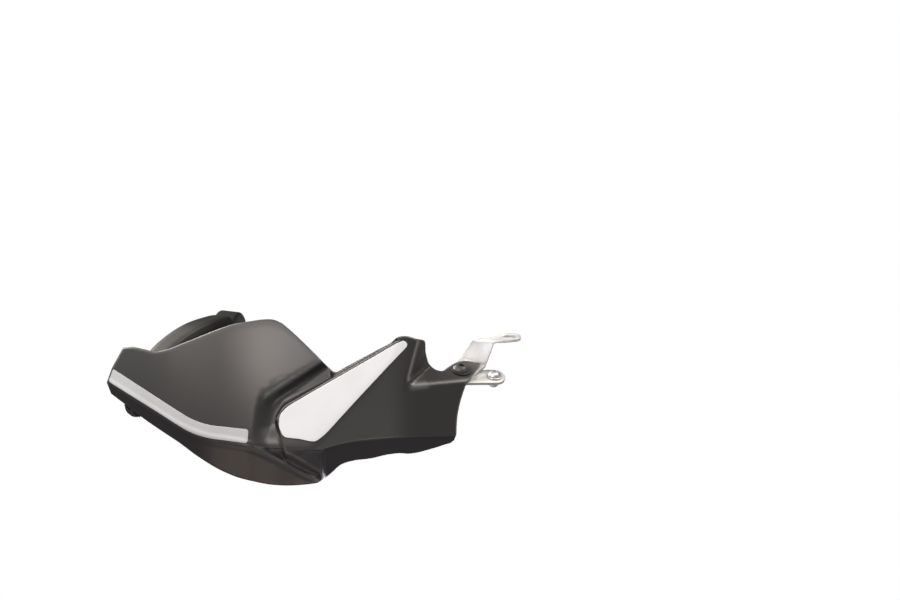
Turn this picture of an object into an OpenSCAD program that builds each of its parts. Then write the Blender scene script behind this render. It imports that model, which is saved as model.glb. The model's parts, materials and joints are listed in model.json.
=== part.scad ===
// Right-hand motorcycle hand guard: a moulded wind deflector on an arm from the handlebar end,
// held inboard by a tab on sheet metal brackets.
// Frame: origin at the centre of the handlebar's end face, +X inboard along the bar,
// +Y to the rider, +Z up. The shell is drawn as depths seen along the mould's draw direction.

/* [Shell] */
// Length of the shell across the draw direction
shell_l = 300; // [290:1:312]
// Height of the shell across the draw direction
shell_h = 133; // [128:1:139]
// Wall of the shell
wall = 3; // [2.4:0.1:3.4]
// How far the front of the shell stands ahead of its outer end
sweep = 70; // [60:1:76]
// Depth of the channel between the wing and the panel
channel_d = 9; // [5:0.5:11]
// Thickness of the stick-on reflectors
film_t = 0.4; // [0.2:0.1:0.8]

/* [Arm] */
// Diameter of the boss at the bar end
boss_d = 37; // [32:1:42]
// Width of the boss along the bar
boss_w = 18; // [14:1:22]
// Width of the arm
arm_w = 19; // [16:0.5:22]
// Height of the arm behind the shell
arm_h = 24; // [20:1:28]
// Outer diameter of the steel bush in the boss
bush_d = 14; // [11:0.5:18]

/* [Brackets] */
// Thickness of the sheet metal
sheet_t = 2.5; // [1.5:0.5:3]
// Width of the mirror strap
strap_w = 18; // [15:1:22]
// Clear hole for the mirror's stem
mirror_hole_d = 10.5; // [8.5:0.5:12.5]
// Distance along the bar from the tab's screw to the mirror's stem
mirror_reach = 26; // [22:1:34]
// Height of the mirror foot over the bar's axis
mirror_z = 20; // [16:1:25]

/* [Fasteners] */
// Thread diameter of the main screws
screw_d = 6; // [5:0.5:7]
// Thread diameter of the perch plate's small screw
small_screw_d = 5; // [4:0.5:5.5]
// Thickness of the washers
washer_t = 1.2; // [0.8:0.1:1.6]

/* [Hidden] */
$fn = 48;

// The draw direction, turned inboard from straight ahead and tilted up
draw_turn = 22;
draw_tilt = 16;
draw_at = [6 - boss_w / 2, 0, 0];
su = shell_l / 300;
sv = shell_h / 133;

ax_u = [cos(draw_turn), sin(draw_turn), 0];
ax_v = [-sin(draw_turn) * sin(draw_tilt), cos(draw_turn) * sin(draw_tilt), cos(draw_tilt)];
ax_w = [sin(draw_turn) * cos(draw_tilt), -cos(draw_turn) * cos(draw_tilt), sin(draw_tilt)];
function to_part(p) = draw_at + p.x * ax_u + p.y * ax_v + p.z * ax_w;
function turn_to_part(d) = d.x * ax_u + d.y * ax_v + d.z * ax_w;
function unit(d) = d / norm(d);
module in_draw() translate(draw_at) rotate([90 - draw_tilt, 0, draw_turn]) children();
// Stands children up along n at p, with their X axis as near as can be to the direction x
module frame_at(p, n, x) {
  k = unit(n);
  j = unit(cross(k, x));
  i = cross(j, k);
  multmatrix([[i.x, j.x, k.x, p.x], [i.y, j.y, k.y, p.y], [i.z, j.z, k.z, p.z], [0, 0, 0, 1]])
    children();
}

// Ribs of the shell, outer end first. Each has its point on the top edge, the shoulder line,
// the keel line and the bottom edge, and the depth of the turned-in lip at its foot.
RIBS = [
  [[-88.8, -10.2], [-97.8, -26.3], [-102, -38.2], [-98.6, -47.2], 24],
  [[-81, -9.6], [-89, -31.9], [-92, -44.3], [-91.4, -52.6], 26],
  [[-72, -11.4], [-79, -38.3], [-82, -50.4], [-81, -60.5], 26],
  [[-63.5, -13.2], [-69, -44.6], [-71, -57.1], [-69, -69.3], 24],
  [[-52, -11], [-57, -52.3], [-58.5, -64.7], [-56, -78], 16],
  [[-42, -7], [-46, -59.3], [-47, -72], [-44, -85.8], 10],
  [[-28, -1.5], [-33, -66.9], [-34, -79.3], [-28, -97.5], 8],
  [[-13.6, 4.3], [-20, -71.3], [-20, -83.7], [-12, -107.3], 8],
  [[0, 8.8], [-5, -73.2], [-5, -85.8], [3, -113.8], 8],
  [[13, 11], [9, -74.6], [8, -87.6], [18, -117.6], 8],
  [[24, 12.5], [21, -75], [20, -89.6], [30, -119.8], 8],
  [[32, 12.3], [31, -73.5], [31, -90], [41, -120.5], 8],
  [[38.5, 9.6], [35.8, -66], [42, -90], [49, -120.4], 8],
  [[47, 2.7], [40.5, -58], [50, -90.4], [56, -119.9], 8],
  [[57, -6.6], [52, -50.8], [58, -90.7], [62.5, -119.2], 8],
  [[68, -17.4], [65, -43.4], [66, -90.9], [68.5, -117.9], 8],
  [[76.5, -26], [75, -37.6], [72, -90.6], [73, -115.2], 8],
  [[81.6, -29.6], [82.5, -33.4], [79, -88.6], [79, -110.3], 8],
  [[90, -25.5], [92, -27.9], [88, -86.4], [86.5, -103.8], 8],
  [[104, -18], [105, -20.4], [100, -84.6], [97, -100.5], 8],
  [[116, -11.7], [117, -13.5], [112, -83.6], [110, -98.9], 8],
  [[126.5, -6], [127.5, -7.5], [124, -82.5], [123, -95.9], 8],
  [[131.5, -1.8], [134, -4], [133, -81.8], [133, -94.7], 8],
  [[139, -0.9], [140.5, -5], [141, -81.3], [141, -95.1], 8],
  [[146.5, -2.9], [147, -10], [148.5, -81], [148, -94.1], 8],
  [[153.3, -4.8], [151.5, -19], [155, -80.8], [154, -92.6], 8],
  [[154.3, -14], [153.5, -30], [159, -80.7], [158, -91.5], 8],
  [[157.2, -23.5], [157, -38], [162.5, -80.6], [161.7, -90.4], 8],
  [[162, -27.6], [163, -39.2], [166, -80.5], [165, -89.3], 8],
  [[168, -28.8], [169, -39], [169.5, -80.4], [168.5, -88.2], 8],
  [[175, -24.8], [175.5, -38.7], [172.8, -80.3], [171.5, -87.3], 8],
  [[184, -21], [181.5, -39], [175.8, -80.1], [174.3, -86.4], 8],
  [[198, -22.4], [186, -41], [178.8, -79.6], [177, -84.3], 8]];
LAST_RIB = len(RIBS) - 1;

RAILS = [for (line = [0:3]) [for (r = RIBS) r[line]]];

// Smooth curve through a list of points, s counting the points from 0
function step_of(p, i) = norm(p[i + 1] - p[i]);
function slope_of(p, i) =
  i <= 0 ? p[1] - p[0] :
  i >= len(p) - 1 ? p[len(p) - 1] - p[len(p) - 2] :
  let (a = step_of(p, i - 1), b = step_of(p, i))
    ((p[i] - p[i - 1]) / a * b + (p[i + 1] - p[i]) / b * a) / (a + b) * min(a, b);
function curve(p, s) =
  let (i = min(floor(s), len(p) - 2), t = s - i)
    (2 * t ^ 3 - 3 * t ^ 2 + 1) * p[i] + (t ^ 3 - 2 * t ^ 2 + t) * slope_of(p, i)
    + (3 * t ^ 2 - 2 * t ^ 3) * p[i + 1] + (t ^ 3 - t ^ 2) * slope_of(p, i + 1);
function lip_depth(s) =
  let (i = min(floor(s), LAST_RIB - 1)) RIBS[i][4] + (s - i) * (RIBS[i + 1][4] - RIBS[i][4]);

// Blends used by the depth formulas
function ease(x) = let (t = max(0, min(1, x))) t * t * (3 - 2 * t);
function ramp(x, k) = x <= 0 ? 0 : x < k ? x * x / (2 * k) : x - k / 2;
function blend_min(a, b, k) = let (h = max(k - abs(a - b), 0) / k) min(a, b) - h * h * k / 4;
function blend_max(a, b, k) = -blend_min(-a, -b, k);
function mix(a, b, m) = a + (b - a) * m;

// Depths of the shell's outer face along the draw direction, by the region's name
nose_u = 70;
nose_w = 148;
keel_start = RIBS[0][2];
keel_turn = RIBS[7][2];
function keel_v(u) = blend_max(keel_start.y - 0.612 * (u - keel_start.x),
  keel_turn.y - 0.145 * (u - keel_turn.x), 8);
function crease_v(u) = blend_min(keel_v(u), -91.2 - 0.54 * (u - 21.6), 6);
function front_w(u) = nose_w - sweep * (max(0, nose_u - u) / 172) ^ 1.9;
function belly_front_w(u) = front_w(u) - 22 * ease((u - 8) / 60);
function wing_w(u, v) = let (s = v - keel_v(u)) front_w(u) - 0.3 * s - 0.0012 * s * abs(s);
function channel_u(v) = blend_max(25.6 + 1.57 * (v + 47), 14 + 0.15 * (v + 70), 8);
function floor_w(u, v) =
  let (depth = channel_d * ease((u - channel_u(v)) / 18) * (1 - 0.5 * ease((-70 - v) / 18)),
       under = ease((u - 14) / 14) * 1.7 * ramp(-89 - v, 4))
    blend_max(wing_w(u, v) - depth - under, belly_front_w(u) - 6 - 2 * ramp(v - crease_v(u), 4), 4);
function outer_w(u, v) =
  let (s = v - crease_v(u))
    s > 0 ? mix(belly_front_w(u), floor_w(u, v), ease(s / 6))
      : belly_front_w(u) - 2 * ease(-s / 3) - 0.8 * ramp(-s, 6);

panel_corner = [72, -81, nose_w - 6];
function panel_w(u, v) = panel_corner.z + 0.1 * (u - panel_corner.x) - 0.3 * (v - panel_corner.y);
function bevel_w(u, v) =
  panel_w(u, v) - 0.17 * (1.08 * (u - panel_corner.x) - (v - panel_corner.y));
box_corner = [135.2, -81, nose_w - 11.3];
function box_w(u, v) = box_corner.z - 0.13 * (v - box_corner.y) - 0.36 * (u - box_corner.x);
tab_root = [142.4, -40.4];
function tab_w(u, v) =
  box_w(tab_root.x, tab_root.y) - 0.24 * (u - tab_root.x) - 1.43 * (v - tab_root.y);
cheek_foot = [143.2, -36.8, nose_w - 25];
function cheek_w(u, v) = cheek_foot.z - 1.608 * (u - cheek_foot.x) + 0.231 * (v - cheek_foot.y);
// The body turns under below one line, and at the nose once more below a slanting one
function lip_v(u) = -79.8 - 10.8 * exp(-max(u - panel_corner.x, 0) / 28);
function under_w(u, v) =
  let (right = ease((u - panel_corner.x) / 2.5))
    mix(0.9, 1.6, right) * ramp(lip_v(u) - v, 2.5)
    + (1 - right) * 1.8 * ramp(-89.5 - 0.62 * (u - 40.6) - v, 3);
function body_w(u, v) =
  let (front = blend_min(blend_min(panel_w(u, v), bevel_w(u, v), 1), box_w(u, v), 2.5),
       seat = blend_max(cheek_w(u, v), tab_w(u, v), 3))
    blend_min(front, seat, 4) - under_w(u, v);
// The raised inboard body begins at this rib
body_first = 12;
// From this rib on it reaches the top edge
body_full = 22;
step_w = 1.8;

// Rows of the shell between its four lines
// Columns of the shell, counted in ribs and closer together where it folds
COL_AT = concat([for (s = [0:0.5:11.5]) s], [for (s = [11.75:0.25:16.5]) s],
  [for (s = [17:0.5:24]) s], [for (s = [24.25:0.25:29]) s], [for (s = [29.5:0.5:LAST_RIB]) s]);
top_rows = 7;
mid_rows = 9;
low_rows = 9;
ROWS = top_rows + mid_rows + low_rows;
COLS = len(COL_AT) - 1;
edge_bow = 2;
// Share of the way from one line to the next, with a row set close to the body's upper edge
function row_share(band, k, span) =
  band == 0 ? (k == top_rows ? 1 : max(0.3, 1 - step_w / span) * k / (top_rows - 1)) :
  k / (band == 1 ? mid_rows : low_rows);
// Body mask from 0 on the outer parts to 1 on the raised body
function body_mask(s, band, t, span) =
  let (from_left = ease((s - body_first + 0.5) / 0.5),
       to_top = ease(s - body_full + 1))
    band == 0 ? from_left * max(to_top, ease(1 - (1 - t) * span / step_w)) :
    from_left;
// How far the raised body's side runs back to its top edge, deep at the notch only
function side_depth(s, band) = band == 0 ? 34 - 23 * ease((s - 14) / 3) : 34;
function shell_w(u, v, mask, side = 34) =
  let (a = u / su, b = v / sv, body = body_w(a, b), outer = outer_w(a, b))
    mix(max(outer, body - side), blend_max(body, outer - 60 * ease((a - 68) / 12), 3), mask);
function slope_at(u, v, mask, side = 34) =
  let (w = shell_w(u, v, mask, side))
    [shell_w(u + 1, v, mask, side) - w, shell_w(u, v + 1, mask, side) - w];

// Share of the wall by which the inner face is drawn in under the raised body's upper side
function under_side(s, band, k) =
  let (ribs = ease(s - body_first + 1) * ease(body_full + 0.5 - s))
    band == 0 ? ribs * k / (top_rows - 1) : band == 1 ? ribs * (1 - k / mid_rows) ^ 2 : 0;

// A point of the outer or the inner face, the inner one drawn in from the edges by the wall
function grid_point(i, j, inner) =
  let (s = COL_AT[i],
       band = j < top_rows ? 0 : j < top_rows + mid_rows ? 1 : 2,
       k = j - (band == 0 ? 0 : band == 1 ? top_rows : top_rows + mid_rows),
       p0 = curve(RAILS[band], s),
       p1 = curve(RAILS[band + 1], s),
       span = norm(p1 - p0),
       t = row_share(band, k, span),
       p = mix(p0, p1, t),
       bow = band == 1 ? edge_bow * max(0, s - LAST_RIB + 4) / 4 * sin(180 * t) : 0,
       pull = inner ? wall : 0,
       left = max(0, 1 - s / 1.5),
       right = max(0, 1 - (LAST_RIB - s) / 4),
       foot = band == 2 ? t * t : 0,
       side_in = min(1, under_side(s, band, k)),
       u = (p.x - bow) * su + pull * (left - right + 0.5 * side_in),
       v = p.y * sv + pull * (1.15 * foot - 0.85 * side_in),
       mask = body_mask(s, band, t, span),
       side = side_depth(s, band),
       steep = min(norm(slope_at(u, v, mask, side)), 1.6))
    [u, v, shell_w(u, v, mask, side) - pull * sqrt(1 + steep ^ 2)];

// The way round the shell from the outer end's top, along the bottom, to the tab's corner
EDGE = concat([for (j = [0:ROWS]) [0, j]], [for (i = [1:COLS]) [i, ROWS]],
  [for (j = [ROWS - 1:-1:0]) [COLS, j]]);
function edge_depth(e) =
  e[0] == 0 ? mix(8, lip_depth(0), ease(e[1] / ROWS * 1.6)) :
  e[1] == ROWS ? lip_depth(COL_AT[e[0]]) : mix(wall * 1.6, 8, ease((e[1] - top_rows - 1) / 6));

module shell_skin() {
  nj = ROWS + 1;
  n = (COLS + 1) * nj;
  ne = len(EDGE);
  outer = [for (i = [0:COLS], j = [0:ROWS]) grid_point(i, j, false)];
  inner = [for (i = [0:COLS], j = [0:ROWS]) grid_point(i, j, true)];
  lip_out = [for (e = EDGE) outer[e[0] * nj + e[1]] - [0, 0, edge_depth(e)]];
  lip_in = [for (k = [0:ne - 1]) let (q = inner[EDGE[k][0] * nj + EDGE[k][1]])
    [q.x, q.y, lip_out[k].z]];
  function at(e) = e[0] * nj + e[1];
  // The two triangles of a square of the grid, cut along its shorter diagonal
  function halves(p, a, b) = norm(p[a] - p[b + 1]) < norm(p[b] - p[a + 1])
    ? [[a, b, b + 1], [a, b + 1, a + 1]] : [[a, b, a + 1], [b, b + 1, a + 1]];
  faces = concat(
    [for (i = [0:COLS - 1], j = [0:ROWS - 1])
      each halves(outer, i * nj + j, (i + 1) * nj + j)],
    [for (i = [0:COLS - 1], j = [0:ROWS - 1])
      each [for (f = halves(inner, i * nj + j, (i + 1) * nj + j)) [n + f[0], n + f[2], n + f[1]]]],
    [for (k = [0:ne - 2])
      let (a = at(EDGE[k]), b = at(EDGE[k + 1]), c = 2 * n + k, d = c + 1)
        each [[a, b, d], [a, d, c]]],
    [for (k = [0:ne - 2])
      let (a = n + at(EDGE[k]), b = n + at(EDGE[k + 1]), c = 2 * n + ne + k, d = c + 1)
        each [[a, d, b], [a, c, d]]],
    [for (k = [0:ne - 2])
      let (a = 2 * n + k, c = 2 * n + ne + k) each [[a, a + 1, c + 1], [a, c + 1, c]]],
    [for (i = [0:COLS - 1])
      let (a = i * nj, b = a + nj) each [[a, n + b, b], [a, n + a, n + b]]],
    [[0, 2 * n, 2 * n + ne], [0, 2 * n + ne, n]],
    let (c = COLS * nj) [[c, 2 * n + 2 * ne - 1, 2 * n + ne - 1], [c, n + c, 2 * n + 2 * ne - 1]]);
  polyhedron(concat(outer, inner, lip_out, lip_in), faces, convexity = 12);
}

// Tab: its screw, the normal of its face and the stack of pieces below it
tab_uv = [182.4 * su, -28 * sv];
tab_p = [tab_uv.x, tab_uv.y, shell_w(tab_uv.x, tab_uv.y, 1)];
tab_g = slope_at(tab_uv.x, tab_uv.y, 1);
tab_n = unit([-tab_g.x, -tab_g.y, 1]);
tab_j = turn_to_part(unit(cross(tab_n, [1, 0, 0])));
tab_i = cross(tab_j, turn_to_part(tab_n));
seat_gap = 0.1;
thread_gap = 0.1;
module on_tab(h = 0) in_draw() frame_at(tab_p, tab_n, [1, 0, 0]) translate([0, 0, h]) children();

// Lip: the screw under the outer end, square to the bottom edge
lip_col = 4;
lip_edge = grid_point(lip_col, ROWS, false);
lip_run = grid_point(lip_col + 1, ROWS, false) - grid_point(lip_col - 1, ROWS, false);
lip_n = unit([lip_run.y, -lip_run.x, 0]);
lip_back = 13;
lip_p = lip_edge - [0, 0, lip_back];
module on_lip(h = 0) in_draw() frame_at(lip_p, lip_n, [0, 0, 1]) translate([0, 0, h]) children();

screw_clear = 0.5;
head_d = screw_d * 2.27;
head_h = screw_d * 0.55;
washer_d = screw_d * 2.7;

module tube(d, hole_d, h) difference() {
  cylinder(d = d, h = h);
  translate([0, 0, -1]) cylinder(d = hole_d, h = h + 2);
}

// Domed head with a hexagon socket on a plain shank, the head's seat at z = 0
module button_screw(d, l, head) {
  difference() {
    intersection() {
      cylinder(d = head, h = d * 0.55);
      translate([0, 0, d * 0.55 - head * 0.72]) sphere(d = head * 1.44);
    }
    translate([0, 0, d * 0.25]) cylinder(d = d * 0.77, h = d, $fn = 6);
  }
  translate([0, 0, -l]) cylinder(d = d, h = l + 0.01);
}

module hex_nut(d, h) difference() {
  cylinder(d = d * 1.92, h = h, $fn = 6);
  translate([0, 0, -1]) cylinder(d = d + thread_gap, h = h + 2);
}

module guard_shell() color("dimgray") difference() {
  in_draw() shell_skin();
  on_tab(-wall * 3) cylinder(d = screw_d + screw_clear, h = wall * 6);
  on_lip(-wall * 3) cylinder(d = screw_d + screw_clear, h = wall * 6);
}

// A film laid over the shell's outer face, its points given in columns
module film(points, cols, rows, mask) {
  nj = rows + 1;
  n = (cols + 1) * nj;
  low = [for (p = points) [p.x, p.y, shell_w(p.x, p.y, mask) + film_gap]];
  high = [for (p = low) p + [0, 0, film_t]];
  rim = concat([for (j = [0:rows]) j], [for (i = [1:cols]) i * nj + rows],
    [for (j = [rows - 1:-1:0]) cols * nj + j], [for (i = [cols - 1:-1:1]) i * nj]);
  m = len(rim);
  polyhedron(concat(high, low), concat(
    [for (i = [0:cols - 1], j = [0:rows - 1])
      let (a = i * nj + j, b = a + nj) each [[a, b, b + 1], [a, b + 1, a + 1]]],
    [for (i = [0:cols - 1], j = [0:rows - 1])
      let (a = n + i * nj + j, b = a + nj) each [[a, b + 1, b], [a, a + 1, b + 1]]],
    [for (k = [0:m - 1])
      let (a = rim[k], b = rim[(k + 1) % m]) each [[a, b, n + b], [a, n + b, n + a]]]),
    convexity = 4);
}

film_gap = 0.25;
// The strip lies between the shoulder line and the keel line, up to this rib
strip_first = 0.12;
strip_last = 9.3;
strip_cols = 28;
strip_rows = 3;
module strip_reflector() color("silver") in_draw() film(
  [for (i = [0:strip_cols], j = [0:strip_rows])
    let (s = mix(strip_first, strip_last, i / strip_cols),
         p = mix(curve(RAILS[1], s), curve(RAILS[2], s), mix(0.03, 0.89, j / strip_rows)))
      [p.x * su, p.y * sv]],
  strip_cols, strip_rows, 0);

// The panel reflector's upper edge and lower edge, outer end first
PANEL = [
  [[36.6, -70], [37.6, -76]],
  [[37.8, -64], [40.6, -81]],
  [[43, -58], [53, -83]],
  [[60, -47.6], [66, -84.8]],
  [[80, -36], [73, -80]],
  [[105, -21.7], [98, -53]],
  [[132, -6.2], [127, -22]],
  [[137, -4.2], [140.5, -8]]];
panel_steps = 2;
panel_cols = (len(PANEL) - 1) * panel_steps;
panel_rows = 6;
module panel_reflector() color("whitesmoke") in_draw() film(
  [for (i = [0:panel_cols], j = [0:panel_rows])
    let (s = i / panel_steps,
         p = mix(curve([for (r = PANEL) r[0]], s), curve([for (r = PANEL) r[1]], s), j / panel_rows))
      [p.x * su, p.y * sv]],
  panel_cols, panel_rows, 1);

// The arm: one arch from inside the boss, forward and down on to the seat above the lip.
// Each row is a share of the way, a shift inboard and a lift.
ARCH = [[0.2, 5.6, 14], [0.38, 3.3, 20.7], [0.56, 1, 22], [0.75, 1, 20]];
seat_p = to_part(lip_p - (wall + seat_gap) * lip_n);
seat_dir = turn_to_part(lip_n);
arm_start = [-boss_w / 2, -4, 1];
ARM_PATH = concat([arm_start],
  [for (a = ARCH) mix(arm_start, seat_p, a[0]) + [a[1], 0, a[2]]],
  [seat_p - 16 * seat_dir, seat_p]);
arm_steps = 3;
arm_corners = 28;
arm_stations = (len(ARM_PATH) - 1) * arm_steps;
function corner(x) = sign(x) * abs(x) ^ 0.4;
function arm_ring(k) =
  let (s = k / arm_steps,
       p = curve(ARM_PATH, s),
       d = k == arm_stations ? seat_dir : unit(curve(ARM_PATH, s + 0.05) - curve(ARM_PATH, max(0, s - 0.05))),
       side = unit([1, 0, 0] - d.x * d),
       up = cross(side, d),
       w = mix(boss_w - 2, arm_w, ease(s / 1.5)),
       h = mix(boss_d * 0.8, arm_h, ease(s / 2)) * mix(1, 0.8, ease(s - 4)))
    [for (c = [0:arm_corners - 1])
      let (a = 360 * c / arm_corners)
        p + side * w / 2 * corner(cos(a)) + up * h / 2 * corner(sin(a))];
module arm_beam() {
  m = arm_corners;
  last = arm_stations * m;
  polyhedron([for (k = [0:arm_stations]) each arm_ring(k)], concat(
    [for (k = [0:arm_stations - 1], c = [0:m - 1])
      let (a = k * m + c, b = k * m + (c + 1) % m) each [[a, b, b + m], [a, b + m, a + m]]],
    [[for (c = [m - 1:-1:0]) c], [for (c = [0:m - 1]) last + c]]), convexity = 6);
}
module bar_end_arm() color("#2b2b2b") difference() {
  union() {
    translate([-boss_w, 0, 0]) rotate([0, 90, 0]) cylinder(d = boss_d, h = boss_w);
    arm_beam();
  }
  translate([-boss_w - 1, 0, 0]) rotate([0, 90, 0]) cylinder(d = bush_d, h = boss_w + 2);
  on_lip(-wall - seat_gap - insert_l) cylinder(d = insert_d, h = insert_l + 1);
}

insert_d = 9;
insert_l = 10;
module boss_bush() color("gainsboro") translate([-boss_w, 0, 0]) rotate([0, 90, 0])
  tube(bush_d, screw_d + screw_clear, boss_w);
bar_washer_at = -boss_w - seat_gap - washer_t;
module bar_end_washer() color("silver") translate([bar_washer_at, 0, 0]) rotate([0, 90, 0])
  tube(washer_d + 4, screw_d + screw_clear, washer_t);
// The long screw's thread stands out of the boss, past a short relief in the shank
thread_l = 26;
thread_d = screw_d - 0.2;
relief_l = 2;
module bar_end_screw() color("#333333") {
  translate([bar_washer_at - seat_gap, 0, 0]) rotate([0, -90, 0])
    button_screw(screw_d, seat_gap - bar_washer_at - relief_l, head_d);
  translate([-relief_l - 1, 0, 0]) rotate([0, 90, 0]) cylinder(d = screw_d * 0.8, h = relief_l + 2);
  rotate([0, 90, 0]) cylinder(d = thread_d, h = thread_l);
}

lip_seat = seat_gap + washer_t + seat_gap;
module lip_screw() color("#1c1c1c") on_lip(lip_seat)
  button_screw(screw_d, lip_seat + wall + seat_gap + insert_l - 1, head_d);
module lip_washer() color("#1c1c1c") on_lip(seat_gap)
  tube(washer_d, screw_d + screw_clear, washer_t);
module lip_insert() color("goldenrod") on_lip(-wall - seat_gap - insert_l)
  tube(insert_d, screw_d + thread_gap, insert_l);

// Heights of the stack over the tab's face
strap_h = -wall - 5 * seat_gap - sheet_t;
plate_h = strap_h - seat_gap - sheet_t;
nut_h = screw_d * 0.85;
nut_at = plate_h - 2 * seat_gap - washer_t - nut_h;
tab_seat = seat_gap + washer_t + seat_gap;
module tab_washer() color("#1c1c1c") on_tab(seat_gap) tube(washer_d, screw_d + screw_clear, washer_t);
module tab_screw() color("#1c1c1c") on_tab(tab_seat)
  button_screw(screw_d, tab_seat - nut_at + 2, head_d);
module tab_back_washer() color("silver") on_tab(plate_h - seat_gap - washer_t)
  tube(washer_d, screw_d + screw_clear, washer_t);
module tab_nut() color("silver") on_tab(nut_at) hex_nut(screw_d, nut_h);

// The mirror strap: a foot under the tab, a steep ramp and a level foot under the mirror's stem.
// The lower bend lies where the ramp's plane meets the tab's.
foot_reach = [11, 20];
foot_end = to_part(tab_p) + turn_to_part((strap_h + sheet_t / 2) * tab_n)
  + foot_reach.x * tab_i + foot_reach.y * tab_j;
ramp_top = [foot_end.x + 9, foot_end.y - 1, mirror_z];
ramp_n = unit(cross([1, 0, 0], ramp_top - foot_end));
fold_dir = unit(cross(turn_to_part(tab_n), ramp_n));
mirror_back = 40;
mirror_p = [to_part(tab_p).x + mirror_reach, to_part(tab_p).y + mirror_back, mirror_z];
module fold(p, d, l) frame_at(p, d, [0, 0, 1]) cylinder(d = sheet_t, h = l, center = true, $fn = 32);
module mirror_strap() color("gainsboro") difference() {
  union() {
    hull() {
      on_tab(strap_h) cylinder(d = strap_w, h = sheet_t, $fn = 32);
      fold(foot_end, fold_dir, strap_w + 3);
    }
    hull() {
      fold(foot_end, fold_dir, strap_w + 3);
      fold(ramp_top, [1, 0, 0], strap_w);
    }
    hull() {
      fold(ramp_top, [1, 0, 0], strap_w);
      translate(mirror_p - [0, 0, sheet_t / 2]) cylinder(d = strap_w, h = sheet_t);
    }
  }
  on_tab(strap_h - 2) cylinder(d = screw_d + screw_clear, h = sheet_t + 6);
  translate(mirror_p - [0, 0, sheet_t]) cylinder(d = mirror_hole_d, h = 2 * sheet_t);
}

perch_at = [27.8, 5.4];
plate_end_r = 9;
module perch_plate() color("gainsboro") on_tab(plate_h) difference() {
  linear_extrude(sheet_t) hull() {
    translate([-1, -1]) circle(d = 17);
    translate(perch_at) circle(r = plate_end_r);
  }
  translate([0, 0, -1]) cylinder(d = screw_d + screw_clear, h = sheet_t + 2);
  translate([perch_at.x, perch_at.y, -1]) cylinder(d = small_screw_d + screw_clear, h = sheet_t + 2);
}
small_head_d = small_screw_d * 2;
module on_perch(h) on_tab(plate_h + h) translate([perch_at.x, perch_at.y, 0]) children();
small_nut_h = small_screw_d * 0.8;
perch_seat = sheet_t + seat_gap + washer_t + seat_gap;
module perch_washer() color("silver") on_perch(sheet_t + seat_gap)
  tube(small_head_d + 2, small_screw_d + screw_clear, washer_t);
module perch_screw() color("silver") on_perch(perch_seat)
  button_screw(small_screw_d, perch_seat - perch_nut_at + 1.5, small_head_d);
perch_nut_at = -2 * seat_gap - washer_t - small_nut_h;
module perch_back_washer() color("silver") on_perch(-seat_gap - washer_t)
  tube(small_head_d + 2, small_screw_d + screw_clear, washer_t);
module perch_nut() color("silver") on_perch(perch_nut_at) hex_nut(small_screw_d, small_nut_h);

guard_shell();
strip_reflector();
panel_reflector();
bar_end_arm();
boss_bush();
bar_end_screw();
bar_end_washer();
lip_screw();
lip_washer();
lip_insert();
tab_screw();
tab_washer();
tab_back_washer();
tab_nut();
mirror_strap();
perch_plate();
perch_screw();
perch_washer();
perch_back_washer();
perch_nut();
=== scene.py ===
"""Right-hand motorcycle hand guard: the looks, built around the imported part.

The shell is drawn again from the part's depth formulas on a finer grid, with a few softer ramps.
The films, arm, brackets and screws get rounded edges and finishes. The scene is in metres, and
the formulas are in millimetres with the numbers of the part's source.
"""
import json
import math

import bmesh
import bpy
import numpy as np
from mathutils import Matrix, Vector


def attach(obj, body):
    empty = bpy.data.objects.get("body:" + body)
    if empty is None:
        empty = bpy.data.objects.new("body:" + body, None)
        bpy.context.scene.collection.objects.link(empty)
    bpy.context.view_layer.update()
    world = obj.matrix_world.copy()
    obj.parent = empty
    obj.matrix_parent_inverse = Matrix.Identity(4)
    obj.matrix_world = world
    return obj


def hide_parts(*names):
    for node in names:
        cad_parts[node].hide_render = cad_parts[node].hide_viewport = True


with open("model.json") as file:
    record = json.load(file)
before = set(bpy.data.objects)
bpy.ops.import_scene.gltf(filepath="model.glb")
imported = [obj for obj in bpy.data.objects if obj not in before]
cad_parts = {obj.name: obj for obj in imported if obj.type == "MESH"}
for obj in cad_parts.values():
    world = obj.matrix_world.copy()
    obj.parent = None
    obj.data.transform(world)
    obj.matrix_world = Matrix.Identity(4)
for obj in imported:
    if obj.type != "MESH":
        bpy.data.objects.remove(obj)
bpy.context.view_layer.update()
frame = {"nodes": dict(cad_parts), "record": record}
MM = 0.001

# The part's own numbers
WALL = 3.0
SWEEP = 70.0
CHANNEL_D = 9.0
FILM_T = 0.4
FILM_GAP = 0.25
BOSS_W = 18.0
TURN, TILT = math.radians(22), math.radians(16)
DRAW_AT = np.array([6 - BOSS_W / 2, 0.0, 0.0])
AX_U = np.array([math.cos(TURN), math.sin(TURN), 0.0])
AX_V = np.array([-math.sin(TURN) * math.sin(TILT), math.cos(TURN) * math.sin(TILT), math.cos(TILT)])
AX_W = np.array([math.sin(TURN) * math.cos(TILT), -math.cos(TURN) * math.cos(TILT), math.sin(TILT)])


def to_part(p):
    p = np.asarray(p, float)
    return DRAW_AT + p[..., :1] * AX_U + p[..., 1:2] * AX_V + p[..., 2:] * AX_W


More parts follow.
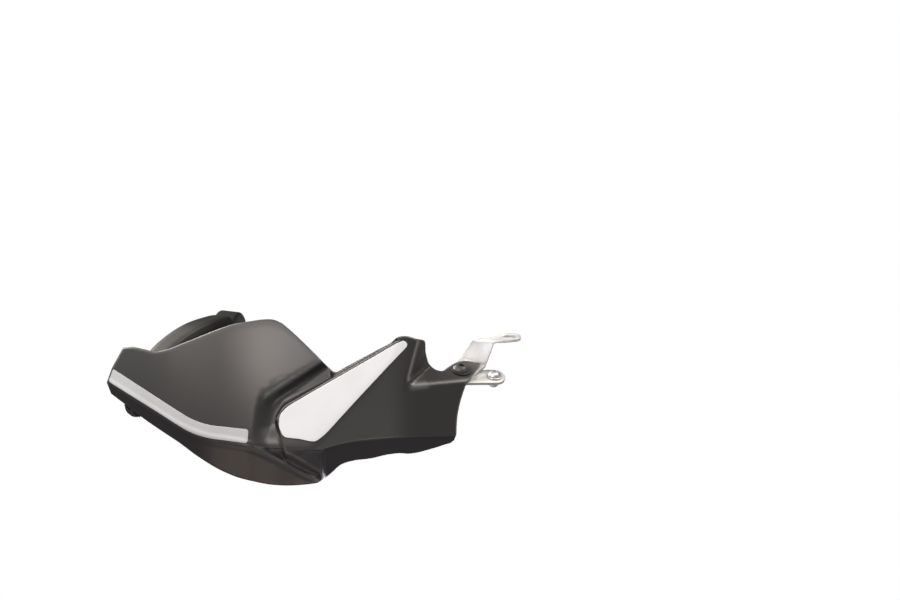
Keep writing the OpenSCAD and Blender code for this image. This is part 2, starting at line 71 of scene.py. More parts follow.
# Ribs of the shell: top edge, shoulder line, keel line, bottom edge, lip depth
RIBS = [
    [[-88.8, -10.2], [-97.8, -26.3], [-102, -38.2], [-98.6, -47.2], 24],
    [[-81, -9.6], [-89, -31.9], [-92, -44.3], [-91.4, -52.6], 26],
    [[-72, -11.4], [-79, -38.3], [-82, -50.4], [-81, -60.5], 26],
    [[-63.5, -13.2], [-69, -44.6], [-71, -57.1], [-69, -69.3], 24],
    [[-52, -11], [-57, -52.3], [-58.5, -64.7], [-56, -78], 16],
    [[-42, -7], [-46, -59.3], [-47, -72], [-44, -85.8], 10],
    [[-28, -1.5], [-33, -66.9], [-34, -79.3], [-28, -97.5], 8],
    [[-13.6, 4.3], [-20, -71.3], [-20, -83.7], [-12, -107.3], 8],
    [[0, 8.8], [-5, -73.2], [-5, -85.8], [3, -113.8], 8],
    [[13, 11], [9, -74.6], [8, -87.6], [18, -117.6], 8],
    [[24, 12.5], [21, -75], [20, -89.6], [30, -119.8], 8],
    [[32, 12.3], [31, -73.5], [31, -90], [41, -120.5], 8],
    [[38.5, 9.6], [35.8, -66], [42, -90], [49, -120.4], 8],
    [[47, 2.7], [40.5, -58], [50, -90.4], [56, -119.9], 8],
    [[57, -6.6], [52, -50.8], [58, -90.7], [62.5, -119.2], 8],
    [[68, -17.4], [65, -43.4], [66, -90.9], [68.5, -117.9], 8],
    [[76.5, -26], [75, -37.6], [72, -90.6], [73, -115.2], 8],
    [[81.6, -29.6], [82.5, -33.4], [79, -88.6], [79, -110.3], 8],
    [[90, -25.5], [92, -27.9], [88, -86.4], [86.5, -103.8], 8],
    [[104, -18], [105, -20.4], [100, -84.6], [97, -100.5], 8],
    [[116, -11.7], [117, -13.5], [112, -83.6], [110, -98.9], 8],
    [[126.5, -6], [127.5, -7.5], [124, -82.5], [123, -95.9], 8],
    [[131.5, -1.8], [134, -4], [133, -81.8], [133, -94.7], 8],
    [[139, -0.9], [140.5, -5], [141, -81.3], [141, -95.1], 8],
    [[146.5, -2.9], [147, -10], [148.5, -81], [148, -94.1], 8],
    [[153.3, -4.8], [151.5, -19], [155, -80.8], [154, -92.6], 8],
    [[154.3, -14], [153.5, -30], [159, -80.7], [158, -91.5], 8],
    [[157.2, -23.5], [157, -38], [162.5, -80.6], [161.7, -90.4], 8],
    [[162, -27.6], [163, -39.2], [166, -80.5], [165, -89.3], 8],
    [[168, -28.8], [169, -39], [169.5, -80.4], [168.5, -88.2], 8],
    [[175, -24.8], [175.5, -38.7], [172.8, -80.3], [171.5, -87.3], 8],
    [[184, -21], [181.5, -39], [175.8, -80.1], [174.3, -86.4], 8],
    [[198, -22.4], [186, -41], [178.8, -79.6], [177, -84.3], 8]]
LAST = len(RIBS) - 1
RAILS = [np.array([r[k] for r in RIBS], float) for k in range(4)]
LIPS = np.array([r[4] for r in RIBS], float)


def slopes(p):
    p = np.asarray(p, float)
    d = np.diff(p, axis=0)
    length = np.linalg.norm(d, axis=1, keepdims=True)
    m = np.empty_like(p)
    m[0], m[-1] = d[0], d[-1]
    a, b = length[:-1], length[1:]
    m[1:-1] = (d[:-1] / a * b + d[1:] / b * a) / (a + b) * np.minimum(a, b)
    return m


def curve(p, s):
    p = np.asarray(p, float)
    m = slopes(p)
    s = np.asarray(s, float)
    i = np.minimum(np.floor(s).astype(int), len(p) - 2)
    t = (s - i)[..., None]
    return ((2 * t ** 3 - 3 * t ** 2 + 1) * p[i] + (t ** 3 - 2 * t ** 2 + t) * m[i]
            + (3 * t ** 2 - 2 * t ** 3) * p[i + 1] + (t ** 3 - t ** 2) * m[i + 1])


def ease(x):
    t = np.clip(x, 0, 1)
    return t * t * (3 - 2 * t)


def ramp(x, k):
    return np.where(x <= 0, 0, np.where(x < k, x * x / (2 * k), x - k / 2))


def blend_min(a, b, k):
    h = np.maximum(k - np.abs(a - b), 0) / k
    return np.minimum(a, b) - h * h * k / 4


def blend_max(a, b, k):
    return -blend_min(-a, -b, k)


def mix(a, b, m):
    return a + (b - a) * m


def keel_v(u):
    return blend_max(-38.2 - 0.612 * (u + 102), -83.5 - 0.145 * (u + 20), 8)


def crease_v(u):
    return blend_min(keel_v(u), -91.2 - 0.54 * (u - 21.6), 6)


def front_w(u):
    return 148 - SWEEP * (np.maximum(0, 70 - u) / 172) ** 1.9


def belly_front_w(u):
    return front_w(u) - 22 * ease((u - 8) / 60)


def wing_w(u, v):
    s = v - keel_v(u)
    return front_w(u) - 0.3 * s - 0.0012 * s * np.abs(s)


def channel_u(v):
    return blend_max(25.6 + 1.57 * (v + 47), 14 + 0.15 * (v + 70), 8)


def floor_w(u, v):
    depth = CHANNEL_D * ease((u - channel_u(v)) / 18) * (1 - 0.5 * ease((-70 - v) / 18))
    under = ease((u - 14) / 14) * 1.7 * ramp(-89 - v, 4)
    bound = belly_front_w(u) - 7 - 2 * ramp(v - crease_v(u), 4)
    return blend_max(wing_w(u, v) - depth - under, bound, 3)


def outer_w(u, v):
    s = v - crease_v(u)
    return np.where(s > 0, mix(belly_front_w(u), floor_w(u, v), ease(s / 6)),
                    belly_front_w(u) - 2 * ease(-s / 3) - 0.8 * ramp(-s, 6))


def panel_w(u, v):
    return 142 + 0.1 * (u - 72) - 0.3 * (v + 81)


def box_w(u, v):
    return 136.7 - 0.13 * (v + 81) - 0.36 * (u - 135.2)


def body_w(u, v):
    right = ease((u - 70) / 5)
    bevel = panel_w(u, v) - 0.17 * (1.08 * (u - 72) - (v + 81))
    tab = box_w(142.4, -40.4) - 0.24 * (u - 142.4) - 1.43 * (v + 40.4)
    cheek = 123 - 1.608 * (u - 143.2) + 0.231 * (v + 36.8)
    lip_v = -79.8 - 10.8 * np.exp(-np.maximum(u - 72, 0) / 28)
    under = mix(0.9, 1.6, right) * ramp(lip_v - v, 3) + \
        (1 - right) * 1.3 * ramp(-89.5 - 0.62 * (u - 40.6) - v, 7)
    front = blend_min(blend_min(panel_w(u, v), bevel, 1), box_w(u, v), 4)
    return blend_min(front, blend_max(cheek, tab, 3), 4) - under


def shell_w(u, v, mask, side=34.0):
    outer, body = outer_w(u, v), body_w(u, v)
    full = blend_max(body, outer - 60 * ease((u - 68) / 12), mix(3, 8, ease((-90 - v) / 8)))
    return mix(np.maximum(outer, body - side), full, mask)


BODY_FIRST, BODY_FULL, STEP_W = 12, 22, 1.8


# The shell on a fine grid
def rows_of(band, span):
    """Shares of the way from one line to the next, close together near edges and steps."""
    if band == 0:
        foot = max(0.3, 1 - STEP_W / span)
        near = np.array([0, 0.12, 0.35, 0.75, 1.3]) * min(1, span / 5) / span
        return np.concatenate([near, near[-1] + (foot - near[-1]) * np.linspace(0, 1, 14)[1:],
                               foot + (1 - foot) * np.linspace(0, 1, 7)[1:-1]])
    if band == 1:
        near = np.array([0, 0.5, 1, 1.6, 2.3, 3.2, 4.2]) * min(1, span / 20) / span
        return np.concatenate([near, np.linspace(near[-1], 1 - near[-1], 24)[1:-1], 1 - near[::-1]])[:-1]
    foot = STEP_W / span
    near = np.array([0, 0.12, 0.35, 0.75, 1.3]) / span
    return np.concatenate([np.linspace(0, foot, 7)[:-1], np.linspace(foot, 1 - near[-1], 16)[:-1],
                           (1 - near)[::-1]])


COLUMNS_PER_RIB = 12
END_COLUMNS = np.array([0.012, 0.035, 0.075, 0.13])
SIDE_DEPTH = 34.0
FAR_FROM_EDGE = 50


def shell_grid():
    """Places along the ribs, and each grid point's u and v, body share, side depth and edge distance."""
    s = np.linspace(0, LAST, LAST * COLUMNS_PER_RIB + 1)
    s = np.unique(np.concatenate([s, END_COLUMNS, LAST - END_COLUMNS * 1.2]))
    lines = [curve(r, s) for r in RAILS]
    uv, mask, side, dist = [], [], [], []
    for i, si in enumerate(s):
        left = ease((si - BODY_FIRST + 0.5) / 0.5)
        top = ease(si - BODY_FULL + 1)
        col_uv, col_m, col_s, col_d = [], [], [], []
        for band in range(3):
            p0, p1 = lines[band][i], lines[band + 1][i]
            span = float(np.linalg.norm(p1 - p0))
            for t in rows_of(band, span):
                p = mix(p0, p1, t)
                bow = 2 * max(0, si - LAST + 4) / 4 * math.sin(math.pi * t) if band == 1 else 0
                col_uv.append([p[0] - bow, p[1]])
                if band == 0:
                    col_m.append(left * max(top, ease(1 - (1 - t) * span / STEP_W)))
                    col_s.append(SIDE_DEPTH - 23 * ease((si - 14) / 3))
                    col_d.append(min(t * span, FAR_FROM_EDGE))
                elif band == 1:
                    col_m.append(left)
                    col_s.append(SIDE_DEPTH)
                    col_d.append(FAR_FROM_EDGE)
                else:
                    col_m.append(left)
                    col_s.append(SIDE_DEPTH)
                    col_d.append((1 - t) * span)
        uv.append(col_uv)
        mask.append(col_m)
        side.append(col_s)
        dist.append(col_d)
    return s, np.array(uv), np.array(mask), np.array(side), np.array(dist)


EDGE_R = 1.3
UNDER_ROWS = 21
COLUMNS_NEAR, ROWS_NEAR = 6, 14
NOWHERE = 1e9


def shell_surface():
    """The grid of the outer face and of the inner one, a wall's thickness apart."""
    s, uv, mask, side, dist = shell_grid()
    u, v = uv[..., 0], uv[..., 1]
    w = shell_w(u, v, mask, side)
    left = np.linalg.norm(uv - uv[:1], axis=2)
    right = np.linalg.norm(uv - uv[-1:], axis=2)
    edge = np.minimum(dist, np.minimum(left, right))
    drop = EDGE_R - np.sqrt(np.maximum(EDGE_R * EDGE_R - np.maximum(EDGE_R - edge, 0) ** 2, 0))
    # inner face: drawn in from the edges and kept a wall's thickness below the outer one
    ni, nj = u.shape
    pull_l = np.maximum(0, 1 - s / 1.5)[:, None]
    pull_r = np.maximum(0, 1 - (LAST - s) / 4)[:, None]
    foot = np.zeros_like(u)
    below = dist[:, -UNDER_ROWS:]
    deepest = np.maximum(below.max(axis=1, keepdims=True), 1)
    foot[:, -UNDER_ROWS:] = np.clip(1 - below / deepest, 0, 1) ** 2
    ui = u + WALL * (pull_l - pull_r)
    vi = v + WALL * 1.15 * foot
    wi = np.full_like(w, NOWHERE)
    for di in range(-COLUMNS_NEAR, COLUMNS_NEAR + 1):
        for dj in range(-ROWS_NEAR, ROWS_NEAR + 1):
            a = np.clip(np.arange(ni) + di, 0, ni - 1)
            b = np.clip(np.arange(nj) + dj, 0, nj - 1)
            un, vn, wn = u[np.ix_(a, b)], v[np.ix_(a, b)], w[np.ix_(a, b)]
            d2 = (un - ui) ** 2 + (vn - vi) ** 2
            cand = np.where(d2 < WALL ** 2, wn - np.sqrt(np.maximum(WALL ** 2 - d2, 0)), NOWHERE)
            wi = np.minimum(wi, cand)
    wi = np.minimum(wi, w - WALL)
    outer = np.stack([u, v, w - drop], axis=2)
    inner = np.stack([ui, vi, wi], axis=2)
    return s, outer, inner, w


def lip_depths(s, ni, nj, path):
    """How far the lip reaches in at each point of the shell's edge."""
    out = []
    top_rows = 19
    for i, j in path:
        if i == 0:
            out.append(mix(8, LIPS[0], ease(j / (nj - 1) * 1.6)))
        elif j == nj - 1:
            k = min(int(s[i]), LAST - 1)
            out.append(mix(LIPS[k], LIPS[k + 1], s[i] - k))
        else:
            out.append(mix(WALL * 1.7, 8, ease((j - top_rows) / 14)))
    return np.array(out)


def mesh_object(name, verts, faces):
    me = bpy.data.meshes.new(name)
    me.from_pydata([tuple(p) for p in verts], [], faces)
    me.validate()
    ob = bpy.data.objects.new(name, me)
    bpy.context.scene.collection.objects.link(ob)
    me.polygons.foreach_set("use_smooth", [True] * len(me.polygons))
    return ob


def face_outward(ob):
    bm = bmesh.new()
    bm.from_mesh(ob.data)
    bmesh.ops.recalc_face_normals(bm, faces=bm.faces)
    bm.to_mesh(ob.data)
    bm.free()


def make_shell():
    s, outer, inner, w = shell_surface()
    ni, nj = outer.shape[:2]
    n = ni * nj
    path = [(0, j) for j in range(nj)] + [(i, nj - 1) for i in range(1, ni)] + \
        [(ni - 1, j) for j in range(nj - 2, -1, -1)]
    depth = lip_depths(s, ni, nj, path)
    verts = [outer.reshape(-1, 3), inner.reshape(-1, 3)]
    rings = []
    po = np.array([outer[e] for e in path])
    wo = np.array([w[e] for e in path])
    pi = np.array([inner[e] for e in path])
    foot = np.minimum(wo - depth, pi[:, 2] - 0.3)
    for f, z in ((0.0, 0.7), (0.08, 0.25), (0.35, 0.0), (0.65, 0.0), (0.92, 0.25), (1.0, 0.7)):
        rings.append(np.column_stack([mix(po[:, :2], pi[:, :2], f), foot + z * np.minimum(1, depth / 8)]))
    verts += rings
    faces = []
    for i in range(ni - 1):
        for j in range(nj - 1):
            a, b = i * nj + j, (i + 1) * nj + j
            faces.append((a, a + 1, b + 1, b))
            faces.append((n + a, n + b, n + b + 1, n + a + 1))
    m = len(path)
    at = [e[0] * nj + e[1] for e in path]
    base = 2 * n
    chain = [at] + [[base + r * m + k for k in range(m)] for r in range(len(rings))] + [[n + a for a in at]]
    for c0, c1 in zip(chain[:-1], chain[1:]):
        for k in range(m - 1):
            faces.append((c0[k], c1[k], c1[k + 1], c0[k + 1]))
    for i in range(ni - 1):
        a, b = i * nj, (i + 1) * nj
        faces.append((a, b, n + b, n + a))
    faces.append(tuple(c[0] for c in chain))
    faces.append(tuple(c[-1] for c in reversed(chain)))
    ob = mesh_object("shell_fine", to_part(np.concatenate(verts)) * MM, faces)
    face_outward(ob)
    return ob


SLOTS = {p["node"]: p["material_slot"] for p in frame["record"]["subparts"]}
stand_ins = {}


def dress(ob, node):
    """Let a fine piece stand in for a CAD node."""
    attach(ob, "root")
    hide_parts(node)
    stand_ins[node] = ob
    return ob


shell = dress(make_shell(), "guard_shell")


# Reflective films
PANEL = [
    [[36.6, -70], [37.6, -76]],
    [[37.8, -64], [40.6, -81]],
    [[43, -58], [53, -83]],
    [[60, -47.6], [66, -84.8]],
    [[80, -36], [73, -80]],
    [[105, -21.7], [98, -53]],
    [[132, -6.2], [127, -22]],
    [[137, -4.2], [140.5, -8]]]
NEAR_EDGE = np.array([0, 0.06, 0.16, 0.35, 0.7, 0.95, 1.1, 1.25, 1.5])


RIM_AT = [0, 0.06, 0.16, 0.35, 0.95, 1.1, 1.25, 2]
RIM_HEIGHT = [0.40, 0.50, 0.58, 0.61, 0.61, 0.53, 0.61, 0.61]
FILM_STEP = 1.6
FILM_ROWS = 9
FILM_SAMPLES = 600


def between_edges(length, count):
    """Distances across a film: close together at both edges, even between them."""
    near = NEAR_EDGE * min(1.0, length / 5)
    middle = np.linspace(near[-1], length - near[-1], count)[1:-1]
    return np.concatenate([near, middle, length - near[::-1]])


def spread(length, step):
    last = NEAR_EDGE[-1] * min(1.0, length / 5)
    return between_edges(length, max(3, int((length - 2 * last) / step)))


def film_height(d):
    """Height above the shell at a distance from the film's edge: a rounded rim and a pressed line."""
    return np.interp(d, RIM_AT, RIM_HEIGHT)


def make_film(name, upper, lower, first, last, radii, mask):
    samples = np.linspace(first, last, FILM_SAMPLES)
    mid = (curve(upper, samples) + curve(lower, samples)) / 2
    run = np.concatenate([[0], np.cumsum(np.linalg.norm(np.diff(mid, axis=0), axis=1))])
    along = spread(run[-1], FILM_STEP)
    grid, rim_d = [], []
    for a in along:
        at = np.interp(a, run, samples)
        p0, p1 = curve(upper, np.array([at]))[0], curve(lower, np.array([at]))[0]
        span = np.linalg.norm(p1 - p0)
        inset = 0.0
        for x, r in ((a, min(radii[0], span / 2.02)), (run[-1] - a, min(radii[1], span / 2.02))):
            if x < r:
                inset = max(inset, r - math.sqrt(r * r - (r - x) ** 2))
        inside = span - 2 * inset
        across = between_edges(inside, FILM_ROWS)
        grid.append([mix(p0, p1, (inset + c) / span) for c in across])
        ends = min(a, run[-1] - a)
        rim_d.append(np.minimum(np.minimum(across, inside - across), ends))
    uv, rim_d = np.array(grid), np.array(rim_d)
    w = shell_w(uv[..., 0], uv[..., 1], mask)
    top = np.dstack([uv, w + film_height(rim_d)])
    low = np.dstack([uv, w + FILM_GAP])
    ni, nj = w.shape
    n = ni * nj
    faces = []
    for i in range(ni - 1):
        for j in range(nj - 1):
            a, b = i * nj + j, (i + 1) * nj + j
            faces.append((a, b, b + 1, a + 1))
            faces.append((n + a, n + a + 1, n + b + 1, n + b))
    rim = list(range(nj)) + [i * nj + nj - 1 for i in range(1, ni)] + \
        [(ni - 1) * nj + j for j in range(nj - 2, -1, -1)] + [i * nj for i in range(ni - 2, 0, -1)]
    for a, b in zip(rim, rim[1:] + rim[:1]):
        faces.append((a, b, n + b, n + a))
    both = np.concatenate([top.reshape(-1, 3), low.reshape(-1, 3)])
    ob = mesh_object(name, to_part(both) * MM, faces)
    face_outward(ob)
    return ob


STRIP_ENDS = (0.12, 9.3)
strip_upper = mix(RAILS[1], RAILS[2], 0.03)
strip_lower = mix(RAILS[1], RAILS[2], 0.89)
dress(make_film("strip_fine", strip_upper, strip_lower, *STRIP_ENDS, (1.6, 2.6), 0.0), "strip_reflector")
panel_upper, panel_lower = (np.array([r[k] for r in PANEL], float) for k in range(2))
dress(make_film("panel_fine", panel_upper, panel_lower, 0, len(PANEL) - 1, (2.6, 2.4), 1.0),
      "panel_reflector")


# The arm
BOSS_D, BUSH_D, BOSS_R = 37.0, 14.0, 2.4
ARM_W, ARM_H, INSERT_L = 19.0, 24.0, 10.0
ARM_STATIONS, ARM_AROUND, BOSS_AROUND = 84, 72, 96
CRISP_ARM, CRISP_SMALL = 40, 45
ARCH = [[0.2, 5.6, 14], [0.38, 3.3, 20.7], [0.56, 1, 22], [0.75, 1, 20]]


def node_middle(node):
    """Middle of a CAD node in millimetres of the part's frame."""
    ob = frame["nodes"][node]
    pts = np.array([ob.matrix_world @ v.co for v in ob.data.vertices])
    return (pts.min(axis=0) + pts.max(axis=0)) / 2 / MM


def unit(d):
    return d / np.linalg.norm(d)


def arm_path():
    """The arch's points and the direction in which it meets its seat."""
    insert, washer = node_middle("lip_insert"), node_middle("lip_washer")
    seat_dir = unit(washer - insert)
    seat = insert + seat_dir * INSERT_L / 2
    start = np.array([-BOSS_W / 2, -4.0, 1.0])
    path = [start] + [mix(start, seat, a[0]) + np.array([a[1], 0, a[2]]) for a in ARCH]
    return np.array(path + [seat - 16 * seat_dir, seat]), seat_dir


def superellipse(a, power=0.4):
    return np.sign(np.cos(a)) * np.abs(np.cos(a)) ** power, np.sign(np.sin(a)) * np.abs(np.sin(a)) ** power


def arm_beam(verts, faces):
    """The arch from the boss to the seat, closed at both ends."""
    path, seat_dir = arm_path()
    last = len(path) - 1
    stations = np.linspace(0.45, last, ARM_STATIONS)
    turn = np.linspace(0, 2 * math.pi, ARM_AROUND + 1)[:-1]
    turn = turn - 0.16 * np.sin(4 * turn)
    cu, cv = superellipse(turn)
    for k, st in enumerate(stations):
        at = curve(path, np.array([st]))[0]
        ahead, behind = curve(path, np.array([min(last, st + 0.05), max(0, st - 0.05)]))
        d = seat_dir if k == len(stations) - 1 else unit(ahead - behind)
        side = unit(np.array([1.0, 0, 0]) - d[0] * d)
        up = np.cross(side, d)
        w = mix(BOSS_W - 2, ARM_W, ease(st / 1.5))
        h = mix(BOSS_D * 0.8, ARM_H, ease(st / 2)) * mix(1, 0.8, ease(st - 4))
        for a, b in zip(cu, cv):
            verts.append(at + side * w / 2 * a + up * h / 2 * b)
    m = len(turn)
    for k in range(len(stations) - 1):
        for c in range(m):
            a, b = k * m + c, k * m + (c + 1) % m
            faces.append((a, b, b + m, a + m))
    faces.append(tuple(range(m - 1, -1, -1)))
    faces.append(tuple(range((len(stations) - 1) * m, len(stations) * m)))


def arm_boss(verts, faces):
    """The round boss with rolled edges and the bore for its bush."""
    base = len(verts)
    arc = np.linspace(0, math.pi / 2, 7)
    r_out = BOSS_D / 2
    profile = [(0.0, BUSH_D / 2)]
    profile += [(-BOSS_R * (1 - math.cos(a)), r_out - BOSS_R * (1 - math.sin(a))) for a in arc]
    profile += [(-BOSS_W + BOSS_R * (1 - math.sin(a)), r_out - BOSS_R * (1 - math.cos(a))) for a in arc]
    profile += [(-BOSS_W, BUSH_D / 2)]
    for x, r in profile:
        for c in range(BOSS_AROUND):
            a = 2 * math.pi * c / BOSS_AROUND
            verts.append(np.array([x, r * math.cos(a), r * math.sin(a)]))
    for k in range(len(profile)):
        for c in range(BOSS_AROUND):
            after = (c + 1) % BOSS_AROUND
            here = base + k * BOSS_AROUND
            ahead = base + ((k + 1) % len(profile)) * BOSS_AROUND
            faces.append((here + c, here + after, ahead + after, ahead + c))


def make_arm():
    verts, faces = [], []
    arm_beam(verts, faces)
    arm_boss(verts, faces)
    ob = mesh_object("arm_fine", np.array(verts) * MM, faces)
    tidy_mesh(ob, CRISP_ARM)
    return ob


def tidy_mesh(ob, sharp):
    """Faces turned outward, and edges sharper than an angle left crisp."""
    bm = bmesh.new()
    bm.from_mesh(ob.data)
    bmesh.ops.recalc_face_normals(bm, faces=bm.faces)
    for e in bm.edges:
        e.smooth = not (len(e.link_faces) == 2 and e.calc_face_angle(0) > math.radians(sharp))
    bm.to_mesh(ob.data)
    bm.free()


dress(make_arm(), "bar_end_arm")


# Small parts with broken edges
def soften(node, width, segments=2, angle=28):
    """A copy of a CAD node with its sharp edges rounded."""
    me = frame["nodes"][node].data.copy()
    bm = bmesh.new()
    bm.from_mesh(me)
    bmesh.ops.remove_doubles(bm, verts=bm.verts, dist=2e-6)
    bmesh.ops.dissolve_degenerate(bm, edges=bm.edges, dist=2e-6)
    edges = [e for e in bm.edges if len(e.link_faces) == 2 and e.calc_face_angle(0) > math.radians(angle)]
    bmesh.ops.bevel(bm, geom=edges, offset=width * MM, offset_type="OFFSET", affect="EDGES",
                    segments=segments, profile=0.5, material=-1, clamp_overlap=True)
    bmesh.ops.recalc_face_normals(bm, faces=bm.faces)
    for f in bm.faces:
        f.smooth = True
    for e in bm.edges:
        e.smooth = not (len(e.link_faces) == 2 and e.calc_face_angle(0) > math.radians(CRISP_SMALL))
    bm.to_mesh(me)
    bm.free()
    ob = bpy.data.objects.new(node + "_fine", me)
    ob.matrix_world = frame["nodes"][node].matrix_world.copy()
    bpy.context.scene.collection.objects.link(ob)
    return ob


SOFT_EDGES = {"mirror_strap": 0.35, "perch_plate": 0.35, "tab_screw": 0.2, "tab_washer": 0.15,
              "tab_back_washer": 0.15, "tab_nut": 0.25, "perch_screw": 0.18, "perch_washer": 0.15,
              "perch_back_washer": 0.15, "perch_nut": 0.2, "lip_screw": 0.18, "lip_washer": 0.15,
              "bar_end_screw": 0.2, "bar_end_washer": 0.15}
for node, width in SOFT_EDGES.items():
    dress(soften(node, width), node)


# Materials
def material(name, base, rough, metallic=0.0, grain=0.0, grain_scale=900.0, bump=0.1, spec=0.5,
             wear_and_highlight=None, wear_and_highlight_at=(0.52, 0.60), shade_toward_boss=None):
    mat = bpy.data.materials.new(name)
    mat.use_nodes = True
    nt = mat.node_tree
    b = nt.nodes["Principled BSDF"]
    b.inputs["Base Color"].default_value = (*base, 1)
    b.inputs["Roughness"].default_value = rough
    b.inputs["Metallic"].default_value = metallic
    b.inputs["Specular IOR Level"].default_value = spec
    co = nt.nodes.new("ShaderNodeTexCoord")
    no = nt.nodes.new("ShaderNodeTexNoise")
    no.inputs["Scale"].default_value = grain_scale
    no.inputs["Detail"].default_value = 3
    nt.links.new(co.outputs["Object"], no.inputs["Vector"])
    mr = nt.nodes.new("ShaderNodeMapRange")
    mr.inputs["To Min"].default_value = max(0.02, rough - grain)
    mr.inputs["To Max"].default_value = min(1, rough + grain)
    nt.links.new(no.outputs["Fac"], mr.inputs["Value"])
    nt.links.new(mr.outputs["Result"], b.inputs["Roughness"])
    if shade_toward_boss:
        # painted shade: the specular level falls from the arm towards the boss, so the arm's end by the bar
        # looks darker
        far, near, level = shade_toward_boss
        xyz = nt.nodes.new("ShaderNodeSeparateXYZ")
        nt.links.new(co.outputs["Object"], xyz.inputs["Vector"])
        boss_shade_fade = nt.nodes.new("ShaderNodeMapRange")
        boss_shade_fade.inputs["From Min"].default_value, boss_shade_fade.inputs["From Max"].default_value = far * MM, near * MM
        boss_shade_fade.inputs["To Min"].default_value, boss_shade_fade.inputs["To Max"].default_value = spec, level
        nt.links.new(xyz.outputs["Y"], boss_shade_fade.inputs["Value"])
        nt.links.new(boss_shade_fade.outputs["Result"], b.inputs["Specular IOR Level"])
    # a slow random change of tone, and lighter convex edges: partly wear where hands and gloves rub, partly
    # painted highlight along the fillets and ridges
    slow = nt.nodes.new("ShaderNodeTexNoise")
    slow.inputs["Scale"].default_value = 35
    nt.links.new(co.outputs["Object"], slow.inputs["Vector"])
    shade = nt.nodes.new("ShaderNodeMix")
    shade.data_type = "RGBA"
    shade.inputs["A"].default_value = (*[0.92 * c for c in base], 1)
    shade.inputs["B"].default_value = (*[1.08 * c for c in base], 1)
    nt.links.new(slow.outputs["Fac"], shade.inputs["Factor"])
    edge = nt.nodes.new("ShaderNodeMapRange")
    edge.inputs["From Min"].default_value, edge.inputs["From Max"].default_value = wear_and_highlight_at
    geo = nt.nodes.new("ShaderNodeNewGeometry")
    nt.links.new(geo.outputs["Pointiness"], edge.inputs["Value"])
    # painted highlight: convex edges found by pointiness are mixed towards a lighter colour, partly standing
    # for edge wear
    rub_and_highlight = nt.nodes.new("ShaderNodeMix")
    rub_and_highlight.data_type = "RGBA"
    rub_and_highlight.inputs["B"].default_value = (*(wear_and_highlight or base), 1)
    nt.links.new(edge.outputs["Result"], rub_and_highlight.inputs["Factor"])
    nt.links.new(shade.outputs["Result"], rub_and_highlight.inputs["A"])
    nt.links.new(rub_and_highlight.outputs["Result"], b.inputs["Base Color"])
    bu = nt.nodes.new("ShaderNodeBump")
    bu.inputs["Strength"].default_value = bump
    bu.inputs["Distance"].default_value = 0.0001
    nt.links.new(no.outputs["Fac"], bu.inputs["Height"])
    nt.links.new(bu.outputs["Normal"], b.inputs["Normal"])
    return mat


MATS = {
    # shell: the lighter edge colour is mostly painted highlight on the fillets, ridges and box edges, partly
    # wear
    "shell_plastic": material("shell_plastic", (0.026, 0.025, 0.0245), 0.365, grain=0.045, grain_scale=1600,
                              bump=0.2, wear_and_highlight=(0.17, 0.17, 0.175), wear_and_highlight_at=(0.508, 0.56)),
    "strip_film": material("strip_film", (0.43, 0.44, 0.45), 0.4, grain=0.06, grain_scale=1200, bump=0.08),
    "panel_film": material("panel_film", (0.76, 0.78, 0.80), 0.46, grain=0.06, grain_scale=1200, bump=0.08),
    # arm: the specular level drops towards the boss as painted shade; its lighter edges are partly wear,
    # partly painted highlight
    "arm_plastic": material("arm_plastic", (0.018, 0.018, 0.017), 0.52, grain=0.1, grain_scale=700, bump=0.9,
                            wear_and_highlight=(0.06, 0.06, 0.06), shade_toward_boss=(-58, -36, 0.08)),
    "black_steel": material("black_steel", (0.030, 0.030, 0.030), 0.40, grain=0.06, bump=0.05),
    "black_nylon": material("black_nylon", (0.014, 0.014, 0.014), 0.5, grain=0.06),
    "plain_steel": material("plain_steel", (0.66, 0.67, 0.68), 0.3, metallic=0.8, grain=0.08, bump=0.1),
    "bracket_steel": material("bracket_steel", (0.62, 0.62, 0.61), 0.42, metallic=0.5, grain=0.08,
                              grain_scale=1500, bump=0.2),
    "insert_brass": material("insert_brass", (0.6, 0.42, 0.18), 0.35, metallic=1, grain=0.08),
}
for pieces in (frame["nodes"], stand_ins):
    for name, ob in pieces.items():
        ob.data.materials.clear()
        ob.data.materials.append(MATS[SLOTS[name]])

# Stage, light and camera
scene = bpy.context.scene
scene.view_settings.view_transform = "Standard"
world = bpy.data.worlds.new("world")
scene.world = world
world.use_nodes = True
nt = world.node_tree
bg = nt.nodes["Background"]
bg.inputs["Color"].default_value = (1.0, 0.94, 1.07, 1)
bg.inputs["Strength"].default_value = 0.186
lp = nt.nodes.new("ShaderNodeLightPath")
white = nt.nodes.new("ShaderNodeBackground")
white.inputs["Color"].default_value = (1, 1, 1, 1)
white.inputs["Strength"].default_value = 1.0
mx = nt.nodes.new("ShaderNodeMixShader")
nt.links.new(lp.outputs["Is Camera Ray"], mx.inputs[0])
nt.links.new(bg.outputs[0], mx.inputs[1])
nt.links.new(white.outputs[0], mx.inputs[2])
nt.links.new(mx.outputs[0], nt.nodes["World Output"].inputs["Surface"])


MID = np.array([50.0, -40.0, 120.0])


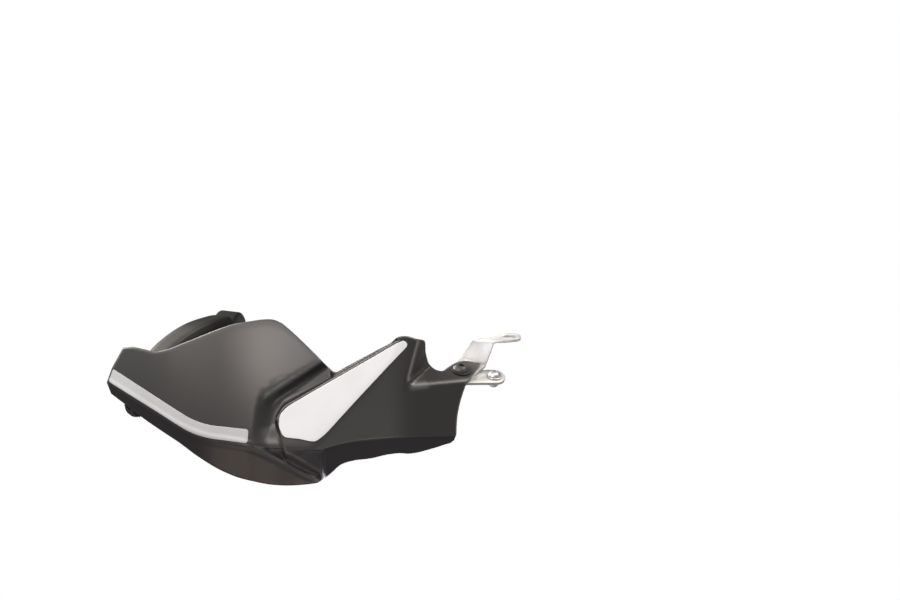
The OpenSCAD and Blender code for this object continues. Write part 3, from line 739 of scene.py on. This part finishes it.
def softbox(name, direction, size, watts, aim=MID, reach=1600.0):
    """A square lamp, out from its aim along a direction of the draw frame, with watts for each colour."""
    li = bpy.data.lights.new(name, "AREA")
    li.shape = "SQUARE"
    li.size = size
    li.energy = max(watts)
    li.color = [x / max(watts) for x in watts]
    ob = bpy.data.objects.new(name, li)
    scene.collection.objects.link(ob)
    d = np.array(direction, float)
    at = Vector(to_part(aim + unit(d) * reach) * MM)
    ob.location = at
    ob.rotation_euler = (Vector(to_part(aim) * MM) - at).to_track_quat("-Z", "Y").to_euler()
    return ob


softbox("key", (-0.28, 0.77, 0.56), 0.36, (8.2, 7.3, 6.9))
softbox("key_right", (0.0, 0.83, 0.56), 0.36, (5.0, 4.9, 4.7))
softbox("front_left", (-0.47, 0.0, 0.88), 0.36, (4.2, 3.9, 3.8))
softbox("front", (0.24, 0.0, 0.97), 0.36, (3.1, 3.0, 2.6))
softbox("right_top", (0.50, 0.86, 0.10), 0.36, (11.2, 10.6, 9.8))
softbox("back_top", (-0.46, 0.80, -0.37), 0.36, (12, 11, 10))
softbox("left_top", (-0.70, 0.70, -0.14), 0.36, (27, 27, 25))
softbox("under", (-0.17, -0.98, 0.10), 0.36, (1.6, 1.3, 1.1))
softbox("under_left", (-0.50, -0.86, 0.10), 0.36, (1.4, 1.1, 0.9))
softbox("right", (0.99, 0.0, 0.10), 0.36, (3.8, 3.4, 3.1))
softbox("low", (0.10, -0.87, 0.48), 0.20, (0.7, 0.7, 0.8))
softbox("behind", (0.15, -0.10, -1.0), 0.90, (16, 16, 17))
bracket_aim = np.array([195.0, -12.0, 40.0])
snoot = softbox("bracket", (0.1, 0.35, 1.0), 0.04, (0.018, 0.018, 0.018), bracket_aim, 900.0)
snoot.data.spread = math.radians(2.4)

cam = bpy.data.cameras.new("camera")
cam.sensor_width = 36
cam.lens = 600
cam.clip_end = 50
cam_ob = bpy.data.objects.new("camera", cam)
scene.collection.objects.link(cam_ob)
place = to_part(np.array([173.6, 28.0, 12120.0])) * MM
cam_ob.matrix_world = Matrix((
    (AX_U[0], AX_V[0], AX_W[0], place[0]),
    (AX_U[1], AX_V[1], AX_W[1], place[1]),
    (AX_U[2], AX_V[2], AX_W[2], place[2]),
    (0, 0, 0, 1)))
scene.camera = cam_ob
